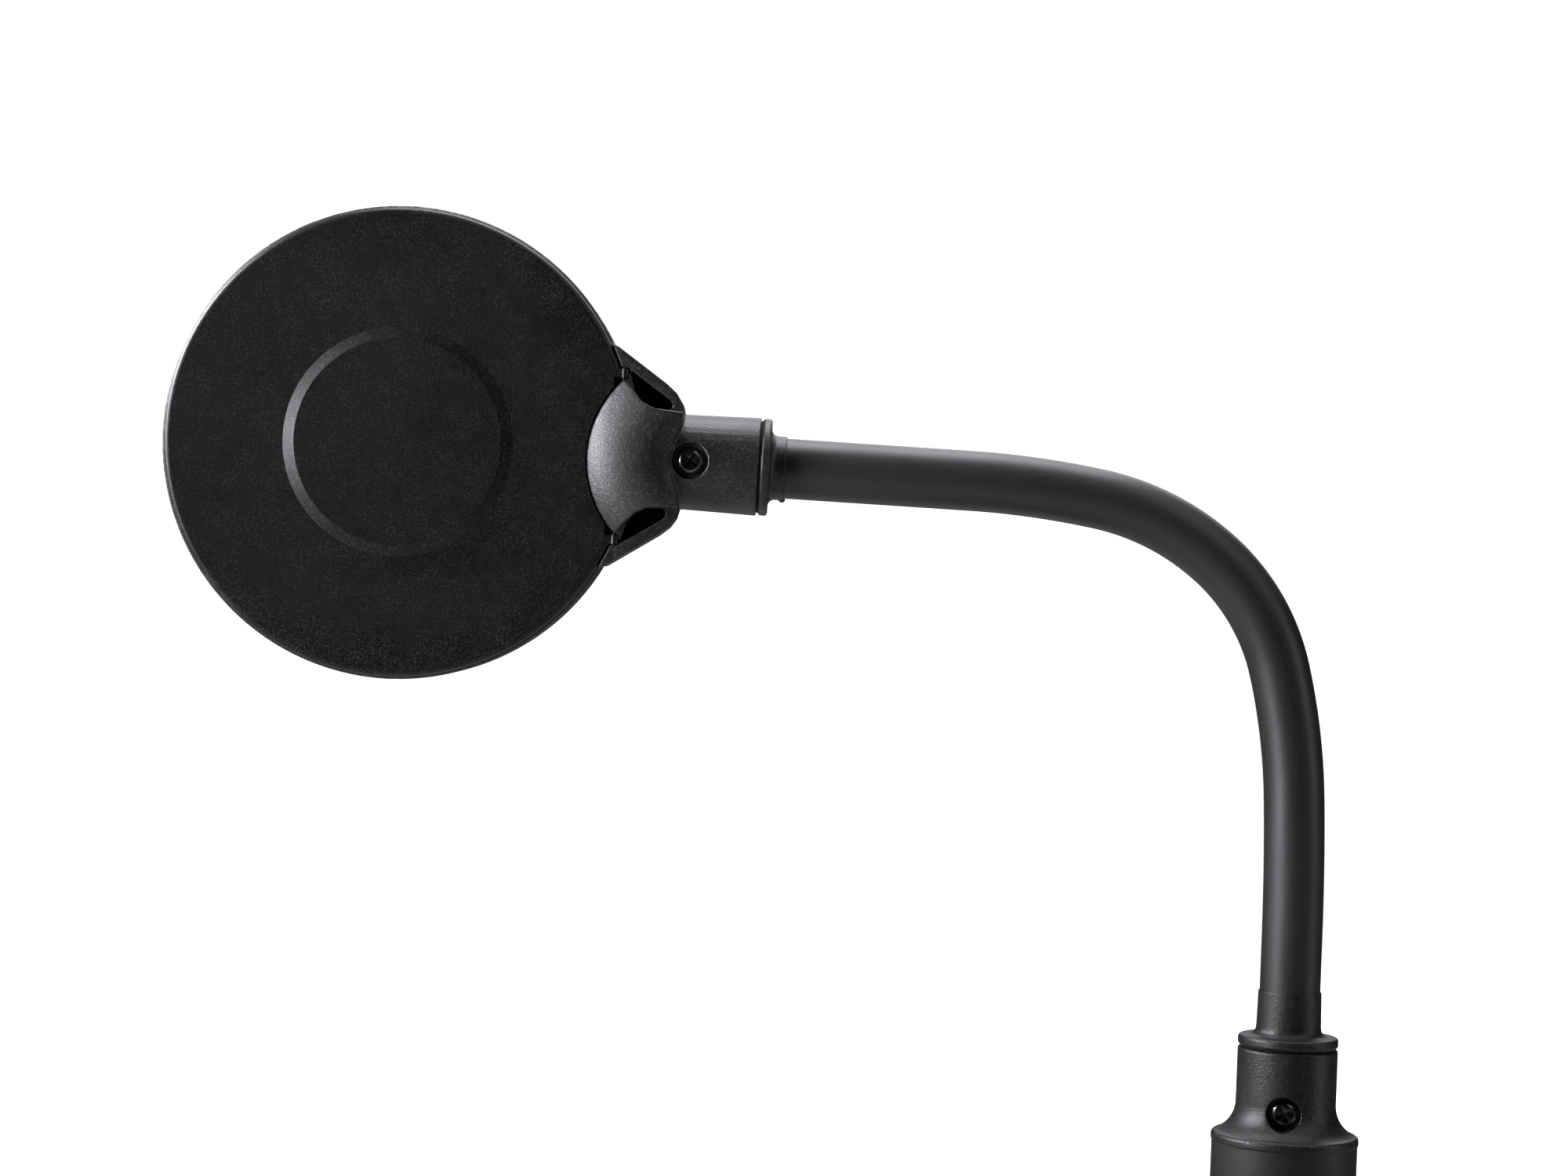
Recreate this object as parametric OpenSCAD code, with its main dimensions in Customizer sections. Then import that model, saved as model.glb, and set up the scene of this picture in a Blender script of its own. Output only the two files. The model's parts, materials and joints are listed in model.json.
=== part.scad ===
// Desk magnifying lamp: a round lens head with a hinged cover, carried by a
// gooseneck that stands in a column on a weighted round base.
// The origin is the centre of the base's underside, +Z is up and the head
// hangs out over -X.  The head's cover faces -Y.

/* [Base] */
// Radius of the round base
base_radius = 90; // [85:1:110]
// Height of the base's flat top
base_height = 26; // [26:1:32]
// Radius of the base's rounded upper edge
base_edge = 8; // [6:1:10]
// Thickness of the base casing
base_wall = 2.6; // [2:0.1:3]
// Distance from the base's centre back to the column
column_offset = 40; // [36:1:44]

/* [Column] */
// Outer radius of the column tube
column_radius = 20.3; // [20:0.1:21]
// Wall of the column tube
column_wall = 1.7; // [1.2:0.1:2]
// Height of the joint between the column tube and the collar above it
column_top = 110; // [100:1:140]
// Height of the collar that holds the gooseneck's foot
collar_height = 26.4; // [25:0.1:30]
// Outer radius of the collar's straight part
collar_radius = 13.95; // [13.5:0.05:14.5]

/* [Gooseneck] */
// Outer radius of the gooseneck's rubber sleeve
sleeve_radius = 8.45; // [8:0.05:9]
// Radius between the sleeve and the steel spine
spine_radius = 6.25; // [6:0.05:6.5]
// Inner radius of the steel spine
spine_bore = 3.6; // [3:0.1:4]
// Radius of the cable inside the spine
cable_radius = 2.4; // [1.5:0.1:2.6]
// Length of the gooseneck's first link, at the column
first_link = 32.6; // [32:0.1:44]
// Length of each of the gooseneck's middle links
middle_link = 36.8; // [34:0.1:40]
// Length of the gooseneck's last link, at the head
last_link = 59.3; // [55:0.1:70]

/* [Head] */
// Radius of the round housing
head_radius = 65.9; // [65.5:0.1:66.4]
// Half the depth of the housing with its cover
head_half_depth = 11; // [11:0.1:12]
// Distance from the gooseneck's end to the middle of the lens
head_reach = 100.3; // [100:0.1:101]
// Radius of the lens
lens_radius = 51; // [50.5:0.1:51]
// Radius of curvature of both lens faces
lens_curvature = 347; // [300:1:400]
// Thickness of the lens at its edge
lens_edge = 2; // [1.6:0.1:2.4]
// Radius of the lens cover
cover_radius = 65.1; // [64.9:0.1:65.2]
// Thickness of the lens cover
cover_thickness = 2.4; // [2.2:0.1:2.6]
// Radius of the raised plateau in the cover's middle
plateau_radius = 28.7; // [20:0.1:40]
// Number of LED chips in the light ring
led_count = 24; // [12:1:30]

/* [Hidden] */
$fn = 96;

plastic = [0.13, 0.13, 0.135];
soft_black = [0.15, 0.15, 0.155];
steel = [0.62, 0.63, 0.65];
circuit = [0.1, 0.32, 0.2];

// A gap that keeps boolean cutters from ending exactly on a face
over = 1;

// ---- Base -------------------------------------------------------------
pad_height = 1.6;
plate_height = 2;
plate_top = pad_height + plate_height;
ballast_height = 10;
ballast_top = plate_top + ballast_height;
ballast_radius = base_radius - 8;
base_top_inside = base_height - base_wall;
base_screw_circle = 70;
base_screw_angles = [45, 135, 225, 315];
base_post_radius = 4.5;
base_screw_radius = 1.5;
base_screw_head = 3;
base_screw_head_height = 1.2;
socket_radius = 24.5;
socket_height = 6;
column_foot_height = 12;
column_screw_circle = 12;
column_screw_angles = [60, 180, 300];
column_screw_radius = 2;
column_screw_head = 3.6;
column_screw_head_height = 1.8;
board_size = [44, 32, 1.6];
board_center = [-18, 0];
board_bottom = ballast_top + 2;
button_center = [-58, 0];
button_radius = 9;
button_clearance = 0.35;
button_travel = 1.5;
button_proud = 2.2;
button_flange = 10.6;
switch_size = [14, 14, 3.4];
switch_bottom = ballast_top;
plunger_radius = 2.5;
inlet_size = [8, 9.4, 3.6];
inlet_wall = 0.35;
inlet_z = 9.5;
inlet_notch = [24, 22];
inlet_tongue = [5, 6.6, 0.7];

// ---- Column and lower collar -------------------------------------------
tube_inside = column_radius - column_wall;
slip = 0.05;
collar_rim_radius = 20.55;
collar_rim_height = 2.6;
collar_flare = 9.2;
collar_flare_height = 11;
collar_skirt = 12;
collar_plug_radius = 10.5;
neck_base = [column_offset, 0, column_top + collar_height];
collar_screw_height = column_top + 9.5;
collar_screw_seat = 11.4;
// Angle of the lower collar's screw around the column
collar_screw_angle = -90 - 11;
screw_recess_radius = 4.7;
screw_head_radius = 3.7;
screw_head_height = 1.8;
screw_radius = 1.75;
cross_width = 0.95;
cross_length = 5;
cross_depth = 1.1;

// ---- Gooseneck -----------------------------------------------------------
// Bend of each link at rest, in degrees, from the column to the head
neck_bend = [0, 2.75, 11.7, 35.65, 29.75, 8.6, 0];
neck_length = [
    first_link, middle_link, middle_link, middle_link, middle_link, middle_link, last_link
];
neck_links = len(neck_bend);
socket_gap = 0.3;
socket_rim = 3.2;
fitting_seam = 0.5;
seam_step = 0.75;
foot_flange_radius = 13.95;
foot_flange_height = 2.9;
foot_boss_height = 12.5;
foot_fillet = 2.2;
foot_plug_depth = 24;
cable_foot_z = 16;
head_flange_radius = 13.6;
head_flange_height = 2.6;
head_boss_height = 4.4;
head_fillet = 1.9;
nib_radius = 1;
head_plug_radius = 8.9;
head_plug_length = 21.5;
spine_in_head = 19;
cable_in_head = 39;

// ---- Head ------------------------------------------------------------------
// In the head's own axes, x points from the lens to the gooseneck, y points
// up and z points out of the cover.
seat_top = 5.1;
seat_bottom = 0.9;
lens_middle = (seat_top + seat_bottom) / 2;
gasket_radius = lens_radius + 1.2;
housing_wall = 2.5;
housing_inside = head_radius - housing_wall;
cover_bottom = head_half_depth - cover_thickness;
housing_top = cover_bottom - 0.3;
housing_plate = 2.1;
lens_lip = lens_radius - 1.8;
seat_wall = 1.8;
head_post_circle = 60.8;
head_post_radius = 2.6;
head_post_angles = [45, 135, 225, 315];
head_screw_radius = 0.95;
head_screw_head = 1.9;
head_screw_head_height = 1.3;
head_recess_depth = 1.7;
light_window = 57;
board_outer = 58;
board_inner = 53.6;
board_top = -1.8;
board_thickness = 1.6;
chip_size = [2.8, 3.5, 1.1];
chip_circle = (board_outer + board_inner) / 2;
chip_angles = [for (i = [0 : led_count - 1]) (i + 0.5) * 360 / led_count];
diffuser_outer = 58;
diffuser_top = -7;
diffuser_bottom = -9;
bezel_radius = 51.4;

collar_end = head_reach;
head_collar_start = 13.2;
head_collar_radius = 13.75;
head_collar_bore = 9;
head_collar_depth = 21.8;
head_screw_reach = 81.2;
cable_hole_radius = 2.8;
head_screw_recess = 5;
head_screw_seat = 10.4;

// The dome is a ring swept about a centre that lies under the collar
dome_center = 82.8;
dome_radius = 30.3;
dome_crest_radius = 14.8;
dome_crest_height = 15.5;
dome_outer_curve = 27;
dome_inner_curve = 13.5;
bracket_low = -9;
bracket_high = 10.6;
pocket_floor = -4;
hinge_x = 61.6;
hinge_z = 9.7;
hinge_pin_radius = 0.6;
hinge_pin_ends = [19.8, 27];
hinge_relief = 1.75;
corner_relief = 3.1;
corner_ends = [19.1, 22];
knuckle_radius = 1.2;
knuckle_ends = [21.9, 24.3];
knuckle_room = 0.3;
knuckle_top = 1;
cover_gap = 0.35;
cover_edge = 1.7;
plateau_height = 1.2;
plateau_slope = 3.2;

// ---- Helpers -----------------------------------------------------------------

// Heading of the gooseneck where link i begins, from the vertical towards -X
function neck_angle(i) = i == 0 ? 0 : neck_angle(i - 1) + neck_bend[i - 1];

// Radius of the arc that a link of this length and bend follows
function arc_radius(length, bend) = length / bend * 180 / PI;

// How far a link carries the neck on from the heading a
function link_step(a, length, bend) =
    bend == 0
    ? length * [-sin(a), 0, cos(a)]
    : arc_radius(length, bend) * [cos(a + bend) - cos(a), 0, sin(a + bend) - sin(a)];

// The point where link i begins, which is also a joint of the neck
function neck_point(i) =
    i == 0
    ? neck_base
    : neck_point(i - 1) + link_step(neck_angle(i - 1), neck_length[i - 1], neck_bend[i - 1]);

// Places children where link i begins, with z along the neck
module at_neck(i) {
    translate(neck_point(i))
        rotate([0, -neck_angle(i), 0])
            children();
}

// Places children in the head's own axes
module in_head() {
    at_neck(neck_links)
        translate([0, 0, head_reach])
            rotate([90, 90, 0])
                children();
}

// Places children on the lower collar's screw axis, with z outwards
module at_lower_screw() {
    translate([column_offset, 0, collar_screw_height])
        rotate([0, 90, collar_screw_angle])
            children();
}

// Repeats children around the z axis at a distance
module around(distance, angles) {
    for (a = angles)
        rotate([0, 0, a])
            translate([distance, 0, 0])
                children();
}

module ring(outer, inner, low, high) {
    translate([0, 0, low])
        difference() {
            cylinder(r = outer, h = high - low);
            translate([0, 0, -over])
                cylinder(r = inner, h = high - low + 2 * over);
        }
}

// A cylinder along y between two positions
module bar_y(radius, low, high) {
    translate([0, high, 0])
        rotate([90, 0, 0])
            cylinder(r = radius, h = high - low);
}

// A cylinder along x between two positions
module bar_x(radius, low, high) {
    translate([low, 0, 0])
        rotate([0, 90, 0])
            cylinder(r = radius, h = high - low);
}

// A round-headed screw with a cross recess, its seat at z = 0 and its shank below
module cross_screw(shank, length, head, height, cross) {
    difference() {
        union() {
            translate([0, 0, -length])
                cylinder(r = shank, h = length + 0.01);
            cylinder(r = head, h = height * 0.55);
            translate([0, 0, height * 0.55])
                cylinder(r1 = head, r2 = head * 0.72, h = height * 0.45);
        }
        for (a = [0, 90])
            rotate([0, 0, a])
                translate([-cross / 2, -cross_width / 2, height - cross_depth])
                    cube([cross, cross_width, cross_depth + over]);
    }
}

// ---- Base -----------------------------------------------------------------------

module base_pad() {
    color(soft_black)
        cylinder(r = base_radius - 5, h = pad_height);
}

module base_screw_holes(radius, low, high) {
    around(base_screw_circle, base_screw_angles)
        translate([0, 0, low])
            cylinder(r = radius, h = high - low);
}

module column_screw_holes(radius, low, high) {
    translate([column_offset, 0, low])
        around(column_screw_circle, column_screw_angles)
            cylinder(r = radius, h = high - low);
}

module base_bottom_plate() {
    color(steel)
        difference() {
            translate([0, 0, pad_height])
                cylinder(r = base_radius - base_wall - 0.2, h = plate_height);
            base_screw_holes(base_screw_radius, 0, plate_top + over);
            base_screw_holes(base_screw_head + 0.1, 0, pad_height + base_screw_head_height);
            column_screw_holes(column_screw_head + 0.1, 0, plate_top + over);
        }
}

module base_ballast() {
    color([0.3, 0.3, 0.31])
        difference() {
            translate([0, 0, plate_top])
                cylinder(r = ballast_radius, h = ballast_height);
            base_screw_holes(base_post_radius + 0.3, plate_top - over, ballast_top + over);
            column_screw_holes(column_screw_radius, plate_top - over, ballast_top + over);
            column_screw_holes(column_screw_head + 0.1, plate_top - over,
                               plate_top + column_screw_head_height);
            translate([base_radius - inlet_notch[0], -inlet_notch[1] / 2, plate_top - over])
                cube([inlet_notch[0], inlet_notch[1], ballast_height + 2 * over]);
        }
}

// Half section of the base casing's outside, drawn in by an even inset
module base_section(inset) {
    square([base_radius - base_edge - inset, base_height - inset]);
    square([base_radius - inset, base_height - base_edge]);
    intersection() {
        translate([base_radius - base_edge, base_height - base_edge])
            circle(r = base_edge - inset);
        square([base_radius, base_height]);
    }
}

module base_shell() {
    color(plastic)
        difference() {
            union() {
                difference() {
                    rotate_extrude() base_section(0);
                    rotate_extrude() base_section(base_wall);
                    translate([0, 0, -over])
                        cylinder(r = base_radius - base_wall, h = 2 * over);
                }
                translate([0, 0, plate_top])
                    base_screw_posts();
                translate([column_offset, 0, ballast_top])
                    cylinder(r = column_radius + 3, h = base_height - ballast_top);
                translate([column_offset, 0, base_top_inside])
                    cylinder(r = socket_radius, h = base_wall + socket_height - 1.5);
                translate([column_offset, 0, base_height + socket_height - 1.5])
                    cylinder(r1 = socket_radius, r2 = socket_radius - 1.5, h = 1.5);
            }
            translate([0, 0, -over])
                cylinder(r = base_radius + over, h = pad_height + over);
            base_screw_holes(base_screw_radius, 0, base_top_inside - 2);
            translate([column_offset, 0, 0])
                cylinder(r = column_radius, h = base_height + socket_height + over);
            translate([button_center[0], button_center[1], 0])
                cylinder(r = button_radius + button_clearance, h = base_height + over);
            translate([base_radius - 6, -inlet_size[1] / 2, inlet_z - inlet_size[2] / 2])
                cube([6 + over, inlet_size[1], inlet_size[2]]);
        }
}

module base_screw_posts() {
    around(base_screw_circle, base_screw_angles)
        cylinder(r = base_post_radius, h = base_top_inside - plate_top + 0.5);
}

module base_screws() {
    color(steel)
        around(base_screw_circle, base_screw_angles)
            translate([0, 0, pad_height + base_screw_head_height])
                mirror([0, 0, 1])
                    cross_screw(base_screw_radius, 14, base_screw_head,
                                base_screw_head_height, 3.6);
}

module driver_board() {
    color(circuit)
        translate([board_center[0], board_center[1], board_bottom]) {
            translate([-board_size[0] / 2, -board_size[1] / 2, 0])
                cube(board_size);
            translate([-14, -9, board_size[2]])
                cube([10, 8, 3.2]);
            translate([2, -6, board_size[2]])
                cube([7, 7, 1.6]);
            translate([13, 6, board_size[2]])
                cylinder(r = 3, h = 5);
            for (x = [-18, 18], y = [-12, 12])
                translate([x, y, ballast_top - board_bottom])
                    cylinder(r = 1.8, h = board_bottom - ballast_top + 0.5);
        }
}

module usb_inlet() {
    color(steel)
        translate([base_radius - inlet_size[0], -inlet_size[1] / 2, inlet_z - inlet_size[2] / 2])
            difference() {
                cube([inlet_size[0] - 0.3, inlet_size[1], inlet_size[2]]);
                translate([1, inlet_wall, inlet_wall])
                    cube([inlet_size[0], inlet_size[1] - 2 * inlet_wall,
                          inlet_size[2] - 2 * inlet_wall]);
            }
    color(steel)
        translate([base_radius - inlet_size[0] + 0.5, -inlet_tongue[1] / 2,
                   inlet_z - inlet_tongue[2] / 2])
            cube(inlet_tongue);
}

module switch_module() {
    color([0.25, 0.25, 0.26])
        translate([button_center[0], button_center[1], switch_bottom])
            translate([-switch_size[0] / 2, -switch_size[1] / 2, 0])
                cube(switch_size);
}

// The cap's plunger stays clear of the switch by the travel, whose spring is inside it
module button_cap() {
    flange_height = 1.6;
    flange_low = base_top_inside - 0.2 - flange_height;
    edge = 0.8;
    plunger_z = switch_bottom + switch_size[2] + button_travel + 0.2;
    color([0.2, 0.2, 0.21])
        translate([button_center[0], button_center[1], 0]) {
            translate([0, 0, flange_low])
                cylinder(r = button_flange, h = flange_height);
            translate([0, 0, flange_low + edge])
                cylinder(r = button_radius, h = base_height + button_proud - flange_low - 2 * edge);
            translate([0, 0, base_height + button_proud - edge])
                cylinder(r1 = button_radius, r2 = button_radius - edge, h = edge);
            translate([0, 0, plunger_z])
                cylinder(r = plunger_radius, h = flange_low + edge - plunger_z);
        }
}

// ---- Column -------------------------------------------------------------------------

module column_tube() {
    color(plastic)
        translate([column_offset, 0, 0])
            ring(column_radius, tube_inside, ballast_top, column_top);
}

module column_foot() {
    color(steel)
        difference() {
            translate([column_offset, 0, ballast_top])
                cylinder(r = tube_inside - slip, h = column_foot_height);
            column_screw_holes(column_screw_radius, 0, ballast_top + column_foot_height - 2);
            translate([column_offset, 0, 0])
                cylinder(r = cable_hole_radius, h = column_top);
        }
}

module column_screws() {
    color(steel)
        translate([column_offset, 0, plate_top + column_screw_head_height])
            around(column_screw_circle, column_screw_angles)
                mirror([0, 0, 1])
                    cross_screw(column_screw_radius, 16, column_screw_head,
                                column_screw_head_height, 3.6);
}

// Half section of the lower collar, with its flare and its rounded rim
module lower_collar_section() {
    rim_round = 1.1;
    square([collar_radius, collar_height - 0.6]);
    square([collar_radius - 0.6, collar_height]);
    translate([collar_radius - 0.6, collar_height - 0.6])
        circle(r = 0.6);
    difference() {
        square([collar_rim_radius - 1, collar_flare_height]);
        translate([collar_radius + collar_flare, collar_flare_height])
            circle(r = collar_flare);
    }
    square([collar_rim_radius, collar_rim_height - rim_round]);
    square([collar_rim_radius - rim_round, collar_rim_height]);
    translate([collar_rim_radius - rim_round, collar_rim_height - rim_round])
        circle(r = rim_round);
}

module lower_collar() {
    color(plastic)
        difference() {
            union() {
                translate([column_offset, 0, column_top])
                    rotate_extrude() lower_collar_section();
                translate([column_offset, 0, column_top - collar_skirt])
                    cylinder(r = tube_inside - slip, h = collar_skirt + 0.5);
            }
            translate([column_offset, 0, neck_base[2] - foot_plug_depth - 0.4])
                cylinder(r = collar_plug_radius + slip, h = collar_height + over);
            translate([column_offset, 0, column_top - collar_skirt - over])
                cylinder(r = cable_hole_radius + 1, h = collar_height);
            at_lower_screw() {
                cylinder(r = screw_radius, h = 30);
                translate([0, 0, collar_screw_seat])
                    cylinder(r = screw_recess_radius, h = 20);
            }
        }
}

module lower_collar_screw() {
    color([0.18, 0.18, 0.19])
        at_lower_screw()
            translate([0, 0, collar_screw_seat])
                rotate([0, 0, 25])
                    cross_screw(screw_radius, 4, screw_head_radius, screw_head_height, cross_length);
}

// ---- Gooseneck ------------------------------------------------------------------------

// Half section of a fitting outside its collar: a shoulder in the seam, a flange
// with rounded edges and a boss with a fillet at its root
module fitting_section(flange_radius, flange_height, boss_height, root, tip, fillet) {
    edge = 0.8;
    flange_top = fitting_seam + flange_height;
    square([flange_radius - seam_step, fitting_seam + edge]);
    translate([0, fitting_seam + edge])
        square([flange_radius, flange_height - 2 * edge]);
    translate([0, fitting_seam])
        square([flange_radius - edge, flange_height]);
    for (z = [fitting_seam + edge, flange_top - edge])
        translate([flange_radius - edge, z])
            circle(r = edge);
    polygon([
        [0, fitting_seam],
        [root, fitting_seam],
        [root, flange_top],
        [tip, flange_top + boss_height],
        [0, flange_top + boss_height]
    ]);
    difference() {
        translate([root - 0.3, flange_top - 0.2])
            square([fillet + 0.3, fillet + 0.2]);
        translate([root + fillet, flange_top + fillet])
            circle(r = fillet);
    }
}

module neck_foot_fitting() {
    root = sleeve_radius + 0.65;
    color(plastic)
        difference() {
            translate([column_offset, 0, neck_base[2]]) {
                translate([0, 0, -foot_plug_depth])
                    cylinder(r = collar_plug_radius, h = foot_plug_depth + fitting_seam);
                rotate_extrude()
                    fitting_section(foot_flange_radius, foot_flange_height, foot_boss_height,
                                    root, sleeve_radius + 0.35, foot_fillet);
                translate([root - 0.3, 0, fitting_seam + foot_flange_height + 6])
                    sphere(r = nib_radius);
            }
            translate([column_offset, 0, neck_base[2] + over])
                cylinder(r = sleeve_radius, h = 30);
            translate([column_offset, 0, neck_base[2] - foot_plug_depth - over])
                cylinder(r = spine_radius, h = foot_plug_depth + 3 * over);
            at_lower_screw()
                cylinder(r = screw_radius, h = 30);
        }
}

// Links with hardly any bend are drawn straight between their joints
function is_straight(i) = neck_bend[i] < 5;

function link_chord(i) =
    neck_bend[i] == 0
    ? neck_length[i]
    : 2 * arc_radius(neck_length[i], neck_bend[i]) * sin(neck_bend[i] / 2);

module straight_tube(low, high, outer, inner) {
    if (inner > 0)
        ring(outer, inner, low, high);
    else
        translate([0, 0, low])
            cylinder(r = outer, h = high - low);
}

module bent_tube(i, outer, inner) {
    bend_radius = arc_radius(neck_length[i], neck_bend[i]);
    translate([-bend_radius, 0, 0])
        rotate([90, 0, 0])
            rotate_extrude(angle = neck_bend[i], $fn = 256)
                translate([bend_radius, 0])
                    difference() {
                        circle(r = outer);
                        if (inner > 0)
                            circle(r = inner);
                    }
}

// Places children at the far end of link i, from the link's own start
module at_link_end(i) {
    bend_radius = is_straight(i) ? 0 : arc_radius(neck_length[i], neck_bend[i]);
    if (is_straight(i))
        translate([0, 0, link_chord(i)])
            children();
    else
        translate([-bend_radius, 0, 0])
            rotate([0, -neck_bend[i], 0])
                translate([bend_radius, 0, 0])
                    children();
}

// The rounded end of a link, on which the next link's hollow end turns.  Its root
// is sunk into the link and is thinner by a step.
module link_ball(outer, inner) {
    step = 0.02;
    low = inner > 0 ? inner + step : 0;
    high = outer - step;
    rotate_extrude()
        union() {
            intersection() {
                circle(r = sleeve_radius);
                translate([low, 0])
                    square([high - low, sleeve_radius + over]);
            }
            translate([low, -over])
                square([high - low, 2 * over]);
        }
}

// One layer of link i; lead and tail lengthen a straight link before and after
module neck_layer(i, outer, inner, lead = 0, tail = 0) {
    chord_turn = is_straight(i) ? neck_bend[i] / 2 : 0;
    translate(neck_point(i))
        rotate([0, -neck_angle(i) - chord_turn, 0])
            difference() {
                union() {
                    if (is_straight(i))
                        straight_tube(-lead, link_chord(i) + tail, outer, inner);
                    else
                        bent_tube(i, outer, inner);
                    if (i < neck_links - 1)
                        at_link_end(i)
                            link_ball(outer, inner);
                }
                if (i > 0) {
                    sphere(r = sleeve_radius + socket_gap);
                    translate([0, 0, -over])
                        cylinder(r = sleeve_radius + 2, h = socket_rim + over);
                }
            }
}

// How far the layers run on into the fitting at the neck's foot, and at its head
function lead_in(i, depth) = i == 0 ? depth : 0;
function tail_in(i, depth) = i == neck_links - 1 ? depth : 0;

module neck_sleeve(i) {
    color(soft_black)
        neck_layer(i, sleeve_radius, spine_radius, lead_in(i, -over), tail_in(i, -over));
}

module neck_spine(i) {
    color(steel)
        neck_layer(i, spine_radius, spine_bore, lead_in(i, foot_plug_depth - 2),
                   tail_in(i, spine_in_head));
}

module neck_cable(i) {
    color([0.6, 0.1, 0.1])
        neck_layer(i, cable_radius, 0, lead_in(i, neck_base[2] - cable_foot_z),
                   tail_in(i, cable_in_head));
}

module neck_head_fitting() {
    root = sleeve_radius + 0.5;
    color(plastic)
        at_neck(neck_links)
            difference() {
                union() {
                    translate([0, 0, -fitting_seam])
                        cylinder(r = head_plug_radius, h = head_plug_length);
                    mirror([0, 0, 1])
                        rotate_extrude()
                            fitting_section(head_flange_radius, head_flange_height,
                                            head_boss_height, root, root, head_fillet);
                    translate([0.3 - root, 0, -head_flange_height - head_boss_height])
                        sphere(r = nib_radius);
                }
                translate([0, 0, -30])
                    cylinder(r = sleeve_radius, h = 30 - over);
                translate([0, 0, -2 * over])
                    cylinder(r = spine_radius, h = spine_in_head + 2 * over);
                cylinder(r = cable_hole_radius, h = head_plug_length + over);
                translate([0, 0, head_reach - head_screw_reach])
                    rotate([90, 0, 0])
                        cylinder(r = screw_radius, h = 20);
            }
}

// ---- Head ---------------------------------------------------------------------------------

module head_collar_screw() {
    color([0.18, 0.18, 0.19])
        in_head()
            translate([head_screw_reach, 0, head_screw_seat])
                rotate([0, 0, -35])
                    cross_screw(screw_radius, 4, screw_head_radius, screw_head_height, cross_length);
}

// A closed outline from one side of it, which is mirrored across the head's x axis
module mirrored_outline(side) {
    polygon([
        for (p = side) p,
        for (i = [len(side) - 1 : -1 : 0]) [side[i][0], -side[i][1]]
    ]);
}

// The bracket seen from the cover's side: two arms that close on the collar
module bracket_outline() {
    mirrored_outline([
        [52, 33], [59.4, 30.5], [73.4, 21.1], [76.4, 18.6], [78.1, 16], [78.8, 13.2],
        [78.5, 11], [77.8, 8.2], [76.4, 5]
    ]);
}

// The pocket between the dome and one arm
module pocket_outline() {
    polygon([
        [62.9, 24.3], [74.6, 16.5], [75.5, 15.4], [75.2, 14.2], [74.6, 13.8], [70.3, 13.8],
        [68.4, 14.4], [67, 15.5], [65.6, 17], [64.6, 19]
    ]);
}

// The part of the dome that shows between the two pockets
module dome_outline() {
    intersection() {
        translate([dome_center, 0])
            circle(r = dome_radius);
        mirrored_outline([
            [50, 22], [61.4, 21.5], [64.6, 18.2], [67, 15.5], [70.3, 13.8], [78.6, 13.2],
            [78.5, 11], [77.8, 8.2], [76.4, 5]
        ]);
    }
}

// Half section of the dome's ring about its centre
module dome_section() {
    intersection() {
        translate([dome_crest_radius, dome_crest_height - dome_outer_curve])
            circle(r = dome_outer_curve);
        translate([dome_crest_radius - 0.01, housing_top - housing_plate])
            square([dome_radius, 20]);
    }
    intersection() {
        translate([dome_crest_radius, dome_crest_height - dome_inner_curve])
            circle(r = dome_inner_curve);
        translate([0, housing_top - housing_plate])
            square([dome_crest_radius, 20]);
    }
}

module dome() {
    intersection() {
        translate([0, 0, housing_top - housing_plate])
            linear_extrude(height = 12)
                dome_outline();
        translate([dome_center, 0, 0])
            rotate_extrude() dome_section();
    }
}

module head_bracket() {
    difference() {
        translate([0, 0, bracket_low])
            linear_extrude(height = bracket_high - bracket_low)
                bracket_outline();
        translate([0, 0, bracket_low - over])
            cylinder(r = head_radius + 0.1, h = over - bracket_low);
        translate([0, 0, -over])
            cylinder(r = housing_inside, h = housing_top - housing_plate + over);
        translate([0, 0, housing_top])
            cylinder(r = cover_radius + cover_gap, h = 20);
        for (side = [0, 1])
            mirror([0, side, 0])
                translate([0, 0, pocket_floor])
                    linear_extrude(height = 30)
                        pocket_outline();
    }
    dome();
    translate([72, 0, 0])
        rotate([0, 90, 0])
            cylinder(r1 = head_collar_start, r2 = head_collar_radius, h = collar_end - 72);
}

// Room for the cover's knuckle and for the pin it turns on
module hinge_cut(pin) {
    for (side = [0, 1])
        mirror([0, side, 0])
            translate([hinge_x, 0, hinge_z]) {
                bar_y(knuckle_radius + knuckle_room, knuckle_ends[0] - 0.3, knuckle_ends[1] + 0.3);
                bar_y(pin, hinge_pin_ends[0], hinge_pin_ends[1]);
            }
}

module head_top_shell() {
    color(plastic)
        in_head()
            difference() {
                union() {
                    ring(head_radius - 0.6, lens_lip, housing_top - housing_plate, housing_top);
                    ring(head_radius, housing_inside, 0.15, housing_top - 0.6);
                    ring(gasket_radius + seat_wall, gasket_radius, seat_bottom,
                         housing_top - housing_plate + 0.5);
                    ring(gasket_radius + 0.5, lens_lip, seat_top, housing_top);
                    around(head_post_circle, head_post_angles)
                        translate([0, 0, 0.15])
                            cylinder(r = head_post_radius, h = housing_top - housing_plate);
                    head_bracket();
                }
                around(head_post_circle, head_post_angles)
                    translate([0, 0, -over])
                        cylinder(r = head_screw_radius, h = 6 + over);
                bar_x(cable_hole_radius, housing_inside - 4, collar_end);
                bar_x(head_collar_bore, collar_end - head_collar_depth, collar_end + over);
                translate([head_screw_reach, 0, 0])
                    cylinder(r = screw_radius, h = 20);
                translate([head_screw_reach, 0, head_screw_seat])
                    cylinder(r = head_screw_recess, h = 20);
                hinge_cut(hinge_pin_radius);
            }
}

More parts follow.
